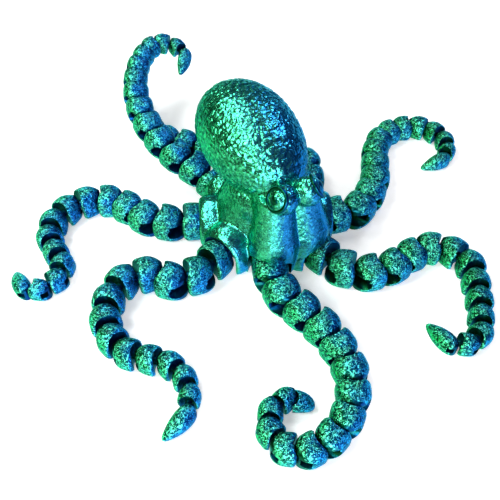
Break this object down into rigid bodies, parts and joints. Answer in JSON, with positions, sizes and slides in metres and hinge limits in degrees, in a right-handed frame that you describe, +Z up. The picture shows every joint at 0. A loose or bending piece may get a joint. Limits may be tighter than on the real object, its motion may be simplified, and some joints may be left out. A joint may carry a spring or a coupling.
{
  "type": "articulated octopus toy",
  "caption": "Printed articulated octopus figure: egg-shaped mantle, raised eyes and curling arms made of hooded links that swing sideways on upright pins.",
  "frame": {"origin": "middle of the body's flat underside, on the floor", "axes": "+Z up; the face looks toward -Y; the octopus's left is +X"},
  "size_m": [0.281, 0.319, 0.077],
  "materials": {
    "silk_pla": "two-colour silk sheen, green to blue"
  },
  "bodies": {
    "body": {"body": "silk_pla"},
    "arm_r1_links_1_2": {"arm_r1_links_1_2": "silk_pla"},
    "arm_r1_links_3_4": {"arm_r1_links_3_4": "silk_pla"},
    "arm_r1_links_5_6": {"arm_r1_links_5_6": "silk_pla"},
    "arm_r1_links_7_8": {"arm_r1_links_7_8": "silk_pla"},
    "arm_r1_links_9_10": {"arm_r1_links_9_10": "silk_pla"},
    "arm_r1_links_11_12": {"arm_r1_links_11_12": "silk_pla"},
    "arm_r1_links_13_14": {"arm_r1_links_13_14": "silk_pla"},
    "arm_r2_links_1_2": {"arm_r2_links_1_2": "silk_pla"},
    "arm_r2_links_3_4": {"arm_r2_links_3_4": "silk_pla"},
    "arm_r2_links_5_6": {"arm_r2_links_5_6": "silk_pla"},
    "arm_r2_links_7_8": {"arm_r2_links_7_8": "silk_pla"},
    "arm_r2_links_9_10": {"arm_r2_links_9_10": "silk_pla"},
    "arm_r2_links_11_12": {"arm_r2_links_11_12": "silk_pla"},
    "arm_r2_links_13_14": {"arm_r2_links_13_14": "silk_pla"},
    "arm_r3_links_1_2": {"arm_r3_links_1_2": "silk_pla"},
    "arm_r3_links_3_4": {"arm_r3_links_3_4": "silk_pla"},
    "arm_r3_links_5_6": {"arm_r3_links_5_6": "silk_pla"},
    "arm_r3_links_7_8": {"arm_r3_links_7_8": "silk_pla"},
    "arm_r3_links_9_10": {"arm_r3_links_9_10": "silk_pla"},
    "arm_r3_links_11_12": {"arm_r3_links_11_12": "silk_pla"},
    "arm_r3_links_13_14": {"arm_r3_links_13_14": "silk_pla"},
    "arm_r4_links_1_2": {"arm_r4_links_1_2": "silk_pla"},
    "arm_r4_links_3_4": {"arm_r4_links_3_4": "silk_pla"},
    "arm_r4_links_5_6": {"arm_r4_links_5_6": "silk_pla"},
    "arm_r4_links_7_8": {"arm_r4_links_7_8": "silk_pla"},
    "arm_r4_links_9_10": {"arm_r4_links_9_10": "silk_pla"},
    "arm_r4_links_11_12": {"arm_r4_links_11_12": "silk_pla"},
    "arm_r4_links_13_14": {"arm_r4_links_13_14": "silk_pla"},
    "arm_l1_links_1_2": {"arm_l1_links_1_2": "silk_pla"},
    "arm_l1_links_3_4": {"arm_l1_links_3_4": "silk_pla"},
    "arm_l1_links_5_6": {"arm_l1_links_5_6": "silk_pla"},
    "arm_l1_links_7_8": {"arm_l1_links_7_8": "silk_pla"},
    "arm_l1_links_9_10": {"arm_l1_links_9_10": "silk_pla"},
    "arm_l1_links_11_12": {"arm_l1_links_11_12": "silk_pla"},
    "arm_l1_links_13_14": {"arm_l1_links_13_14": "silk_pla"},
    "arm_l2_links_1_2": {"arm_l2_links_1_2": "silk_pla"},
    "arm_l2_links_3_4": {"arm_l2_links_3_4": "silk_pla"},
    "arm_l2_links_5_6": {"arm_l2_links_5_6": "silk_pla"},
    "arm_l2_links_7_8": {"arm_l2_links_7_8": "silk_pla"},
    "arm_l2_links_9_10": {"arm_l2_links_9_10": "silk_pla"},
    "arm_l2_links_11_12": {"arm_l2_links_11_12": "silk_pla"},
    "arm_l2_links_13_14": {"arm_l2_links_13_14": "silk_pla"},
    "arm_l3_links_1_2": {"arm_l3_links_1_2": "silk_pla"},
    "arm_l3_links_3_4": {"arm_l3_links_3_4": "silk_pla"},
    "arm_l3_links_5_6": {"arm_l3_links_5_6": "silk_pla"},
    "arm_l3_links_7_8": {"arm_l3_links_7_8": "silk_pla"},
    "arm_l3_links_9_10": {"arm_l3_links_9_10": "silk_pla"},
    "arm_l3_links_11_12": {"arm_l3_links_11_12": "silk_pla"},
    "arm_l3_links_13_14": {"arm_l3_links_13_14": "silk_pla"},
    "arm_l4_links_1_2": {"arm_l4_links_1_2": "silk_pla"},
    "arm_l4_links_3_4": {"arm_l4_links_3_4": "silk_pla"},
    "arm_l4_links_5_6": {"arm_l4_links_5_6": "silk_pla"},
    "arm_l4_links_7_8": {"arm_l4_links_7_8": "silk_pla"},
    "arm_l4_links_9_10": {"arm_l4_links_9_10": "silk_pla"},
    "arm_l4_links_11_12": {"arm_l4_links_11_12": "silk_pla"},
    "arm_l4_links_13_14": {"arm_l4_links_13_14": "silk_pla"}
  },
  "joints": [
    {"name": "r1_pin_1", "type": "hinge", "parent": "body", "child": "arm_r1_links_1_2", "pos_m": [-0.01531, -0.03696, 0.0092], "axis": [0, 0, -1], "range_deg": [-25, 18]},
    {"name": "r1_pin_3", "type": "hinge", "parent": "arm_r1_links_1_2", "child": "arm_r1_links_3_4", "pos_m": [-0.01171, -0.06484, 0.0087], "axis": [0, 0, 1], "range_deg": [-25, 45]},
    {"name": "r1_pin_5", "type": "hinge", "parent": "arm_r1_links_3_4", "child": "arm_r1_links_5_6", "pos_m": [-0.00636, -0.0909, 0.00816], "axis": [0, 0, -1], "range_deg": [-57, 33]},
    {"name": "r1_pin_7", "type": "hinge", "parent": "arm_r1_links_5_6", "child": "arm_r1_links_7_8", "pos_m": [-0.01327, -0.11448, 0.00756], "axis": [0, 0, -1], "range_deg": [-65, 25]},
    {"name": "r1_pin_9", "type": "hinge", "parent": "arm_r1_links_7_8", "child": "arm_r1_links_9_10", "pos_m": [-0.03224, -0.12713, 0.0069], "axis": [0, 0, -1], "range_deg": [-65, 25]},
    {"name": "r1_pin_11", "type": "hinge", "parent": "arm_r1_links_9_10", "child": "arm_r1_links_11_12", "pos_m": [-0.05212, -0.12249, 0.0061], "axis": [0, 0, 1], "range_deg": [-1, 89]},
    {"name": "r1_pin_13", "type": "hinge", "parent": "arm_r1_links_11_12", "child": "arm_r1_links_13_14", "pos_m": [-0.05024, -0.10446, 0.00508], "axis": [0, 0, 1], "range_deg": [-1, 89]},
    {"name": "r2_pin_1", "type": "hinge", "parent": "body", "child": "arm_r2_links_1_2", "pos_m": [-0.03696, -0.01531, 0.0092], "axis": [0, 0, 1], "range_deg": [-31, 17]},
    {"name": "r2_pin_3", "type": "hinge", "parent": "arm_r2_links_1_2", "child": "arm_r2_links_3_4", "pos_m": [-0.06412, -0.01806, 0.0087], "axis": [0, 0, 1], "range_deg": [-11, 27]},
    {"name": "r2_pin_5", "type": "hinge", "parent": "arm_r2_links_3_4", "child": "arm_r2_links_5_6", "pos_m": [-0.08678, -0.00755, 0.00816], "axis": [0, 0, 1], "range_deg": [-72, 3]},
    {"name": "r2_pin_7", "type": "hinge", "parent": "arm_r2_links_5_6", "child": "arm_r2_links_7_8", "pos_m": [-0.10218, -0.02642, 0.00756], "axis": [0, 0, -1], "range_deg": [-20, 70]},
    {"name": "r2_pin_9", "type": "hinge", "parent": "arm_r2_links_7_8", "child": "arm_r2_links_9_10", "pos_m": [-0.09796, -0.04863, 0.0069], "axis": [0, 0, 1], "range_deg": [-70, 20]},
    {"name": "r2_pin_11", "type": "hinge", "parent": "arm_r2_links_9_10", "child": "arm_r2_links_11_12", "pos_m": [-0.08198, -0.06277, 0.0061], "axis": [0, 0, -1], "range_deg": [-73, 17]},
    {"name": "r2_pin_13", "type": "hinge", "parent": "arm_r2_links_11_12", "child": "arm_r2_links_13_14", "pos_m": [-0.07972, -0.08161, 0.00508], "axis": [0, 0, -1], "range_deg": [-73, 17]},
    {"name": "r3_pin_1", "type": "hinge", "parent": "body", "child": "arm_r3_links_1_2", "pos_m": [-0.03696, 0.01531, 0.0092], "axis": [0, 0, 1], "range_deg": [-38, 19]},
    {"name": "r3_pin_3", "type": "hinge", "parent": "arm_r3_links_1_2", "child": "arm_r3_links_3_4", "pos_m": [-0.06071, 0.03035, 0.0087], "axis": [0, 0, -1], "range_deg": [-18, 25]},
    {"name": "r3_pin_5", "type": "hinge", "parent": "arm_r3_links_3_4", "child": "arm_r3_links_5_6", "pos_m": [-0.075, 0.05284, 0.00816], "axis": [0, 0, -1], "range_deg": [-16, 74]},
    {"name": "r3_pin_7", "type": "hinge", "parent": "arm_r3_links_5_6", "child": "arm_r3_links_7_8", "pos_m": [-0.09884, 0.05673, 0.00756], "axis": [0, 0, 1], "range_deg": [-74, 16]},
    {"name": "r3_pin_9", "type": "hinge", "parent": "arm_r3_links_7_8", "child": "arm_r3_links_9_10", "pos_m": [-0.11362, 0.03989, 0.0069], "axis": [0, 0, 1], "range_deg": [-74, 16]},
    {"name": "r3_pin_11", "type": "hinge", "parent": "arm_r3_links_9_10", "child": "arm_r3_links_11_12", "pos_m": [-0.11178, 0.01864, 0.0061], "axis": [0, 0, 1], "range_deg": [-1, 89]},
    {"name": "r3_pin_13", "type": "hinge", "parent": "arm_r3_links_11_12", "child": "arm_r3_links_13_14", "pos_m": [-0.12715, 0.00903, 0.00508], "axis": [0, 0, 1], "range_deg": [-1, 89]},
    {"name": "r4_pin_1", "type": "hinge", "parent": "body", "child": "arm_r4_links_1_2", "pos_m": [-0.01531, 0.03696, 0.0107], "axis": [0.1183, -0.2855, 0.9511], "range_deg": [-12, 40]},
    {"name": "r4_pin_3", "type": "hinge", "parent": "arm_r4_links_1_2", "child": "arm_r4_links_3_4", "pos_m": [-0.02908, 0.06053, 0.01896], "axis": [-0.1183, 0.2855, -0.9511], "range_deg": [-55, 35]},
    {"name": "r4_pin_5", "type": "hinge", "parent": "arm_r4_links_3_4", "child": "arm_r4_links_5_6", "pos_m": [-0.0367, 0.08489, 0.02665], "axis": [0.1183, -0.2855, 0.9511], "range_deg": [-35, 55]},
    {"name": "r4_pin_7", "type": "hinge", "parent": "arm_r4_links_5_6", "child": "arm_r4_links_7_8", "pos_m": [-0.0353, 0.10887, 0.03305], "axis": [0.1183, -0.2855, 0.9511], "range_deg": [-35, 55]},
    {"name": "r4_pin_9", "type": "hinge", "parent": "arm_r4_links_7_8", "child": "arm_r4_links_9_10", "pos_m": [-0.02629, 0.12965, 0.03746], "axis": [-0.1183, 0.2855, -0.9511], "range_deg": [-55, 35]},
    {"name": "r4_pin_11", "type": "hinge", "parent": "arm_r4_links_9_10", "child": "arm_r4_links_11_12", "pos_m": [-0.01187, 0.14517, 0.0395], "axis": [0.1183, -0.2855, 0.9511], "range_deg": [-17, 73]},
    {"name": "r4_pin_13", "type": "hinge", "parent": "arm_r4_links_11_12", "child": "arm_r4_links_13_14", "pos_m": [0.00583, 0.14367, 0.03577], "axis": [-0.1183, 0.2855, -0.9511], "range_deg": [-89, 1]},
    {"name": "l1_pin_1", "type": "hinge", "parent": "body", "child": "arm_l1_links_1_2", "pos_m": [0.01531, -0.03696, 0.0092], "axis": [0, 0, -1], "range_deg": [-33, 33]},
    {"name": "l1_pin_3", "type": "hinge", "parent": "arm_l1_links_1_2", "child": "arm_l1_links_3_4", "pos_m": [0.032, -0.0589, 0.0087], "axis": [0, 0, 1], "range_deg": [-44, 15]},
    {"name": "l1_pin_5", "type": "hinge", "parent": "arm_l1_links_3_4", "child": "arm_l1_links_5_6", "pos_m": [0.05842, -0.05828, 0.00816], "axis": [0, 0, 1], "range_deg": [-34, 56]},
    {"name": "l1_pin_7", "type": "hinge", "parent": "arm_l1_links_5_6", "child": "arm_l1_links_7_8", "pos_m": [0.0807, -0.06602, 0.00756], "axis": [0, 0, -1], "range_deg": [-83, 7]},
    {"name": "l1_pin_9", "type": "hinge", "parent": "arm_l1_links_7_8", "child": "arm_l1_links_9_10", "pos_m": [0.07875, -0.08782, 0.0069], "axis": [0, 0, 1], "range_deg": [-40, 50]},
    {"name": "l1_pin_11", "type": "hinge", "parent": "arm_l1_links_9_10", "child": "arm_l1_links_11_12", "pos_m": [0.06746, -0.10592, 0.0061], "axis": [0, 0, -1], "range_deg": [-50, 40]},
    {"name": "l1_pin_13", "type": "hinge", "parent": "arm_l1_links_11_12", "child": "arm_l1_links_13_14", "pos_m": [0.05164, -0.11488, 0.00508], "axis": [0, 0, -1], "range_deg": [-88, 2]},
    {"name": "l2_pin_1", "type": "hinge", "parent": "body", "child": "arm_l2_links_1_2", "pos_m": [0.03696, -0.01531, 0.0092], "axis": [0, 0, 1], "range_deg": [-56, 30]},
    {"name": "l2_pin_3", "type": "hinge", "parent": "arm_l2_links_1_2", "child": "arm_l2_links_3_4", "pos_m": [0.06356, -0.01028, 0.0087], "axis": [0, 0, -1], "range_deg": [-32, 58]},
    {"name": "l2_pin_5", "type": "hinge", "parent": "arm_l2_links_3_4", "child": "arm_l2_links_5_6", "pos_m": [0.08103, 0.00974, 0.00816], "axis": [0, 0, -1], "range_deg": [-43, 47]},
    {"name": "l2_pin_7", "type": "hinge", "parent": "arm_l2_links_5_6", "child": "arm_l2_links_7_8", "pos_m": [0.09645, 0.02919, 0.00756], "axis": [0, 0, 1], "range_deg": [-23, 67]},
    {"name": "l2_pin_9", "type": "hinge", "parent": "arm_l2_links_7_8", "child": "arm_l2_links_9_10", "pos_m": [0.11861, 0.0342, 0.0069], "axis": [0, 0, -1], "range_deg": [-67, 23]},
    {"name": "l2_pin_11", "type": "hinge", "parent": "arm_l2_links_9_10", "child": "arm_l2_links_11_12", "pos_m": [0.13518, 0.02209, 0.0061], "axis": [0, 0, -1], "range_deg": [-77, 13]},
    {"name": "l2_pin_13", "type": "hinge", "parent": "arm_l2_links_11_12", "child": "arm_l2_links_13_14", "pos_m": [0.13188, 0.00359, 0.00508], "axis": [0, 0, -1], "range_deg": [-77, 13]},
    {"name": "l3_pin_1", "type": "hinge", "parent": "body", "child": "arm_l3_links_1_2", "pos_m": [0.03696, 0.01531, 0.0092], "axis": [0, 0, 1], "range_deg": [-58, 1]},
    {"name": "l3_pin_3", "type": "hinge", "parent": "arm_l3_links_1_2", "child": "arm_l3_links_3_4", "pos_m": [0.04018, 0.04242, 0.0087], "axis": [0, 0, -1], "range_deg": [-8, 60]},
    {"name": "l3_pin_5", "type": "hinge", "parent": "arm_l3_links_3_4", "child": "arm_l3_links_5_6", "pos_m": [0.02825, 0.06636, 0.00816], "axis": [0, 0, -1], "range_deg": [-22, 47]},
    {"name": "l3_pin_7", "type": "hinge", "parent": "arm_l3_links_5_6", "child": "arm_l3_links_7_8", "pos_m": [0.01872, 0.08922, 0.00756], "axis": [0, 0, 1], "range_deg": [-31, 59]},
    {"name": "l3_pin_9", "type": "hinge", "parent": "arm_l3_links_7_8", "child": "arm_l3_links_9_10", "pos_m": [0.02257, 0.11157, 0.0069], "axis": [0, 0, 1], "range_deg": [-15, 75]},
    {"name": "l3_pin_11", "type": "hinge", "parent": "arm_l3_links_9_10", "child": "arm_l3_links_11_12", "pos_m": [0.04153, 0.119, 0.0061], "axis": [0, 0, 1], "range_deg": [-10, 80]},
    {"name": "l3_pin_13", "type": "hinge", "parent": "arm_l3_links_11_12", "child": "arm_l3_links_13_14", "pos_m": [0.05387, 0.10501, 0.00508], "axis": [0, 0, -1], "range_deg": [-80, 10]},
    {"name": "l4_pin_1", "type": "hinge", "parent": "body", "child": "arm_l4_links_1_2", "pos_m": [0.01531, 0.03696, 0.0092], "axis": [0, 0, 1], "range_deg": [-15, 7]},
    {"name": "l4_pin_3", "type": "hinge", "parent": "arm_l4_links_1_2", "child": "arm_l4_links_3_4", "pos_m": [0.00446, 0.06274, 0.0087], "axis": [0, 0, -1], "range_deg": [-12, 41]},
    {"name": "l4_pin_5", "type": "hinge", "parent": "arm_l4_links_3_4", "child": "arm_l4_links_5_6", "pos_m": [-0.01578, 0.08008, 0.00816], "axis": [0, 0, 1], "range_deg": [-33, 41]},
    {"name": "l4_pin_7", "type": "hinge", "parent": "arm_l4_links_5_6", "child": "arm_l4_links_7_8", "pos_m": [-0.02924, 0.10068, 0.00756], "axis": [0, 0, -1], "range_deg": [-64, 26]},
    {"name": "l4_pin_9", "type": "hinge", "parent": "arm_l4_links_7_8", "child": "arm_l4_links_9_10", "pos_m": [-0.02948, 0.12377, 0.0069], "axis": [0, 0, -1], "range_deg": [-48, 42]},
    {"name": "l4_pin_11", "type": "hinge", "parent": "arm_l4_links_9_10", "child": "arm_l4_links_11_12", "pos_m": [-0.02652, 0.14491, 0.0061], "axis": [0, 0, -1], "range_deg": [-48, 42]},
    {"name": "l4_pin_13", "type": "hinge", "parent": "arm_l4_links_11_12", "child": "arm_l4_links_13_14", "pos_m": [-0.02117, 0.16367, 0.00508], "axis": [0, 0, -1], "range_deg": [-52, 38]}
  ]
}
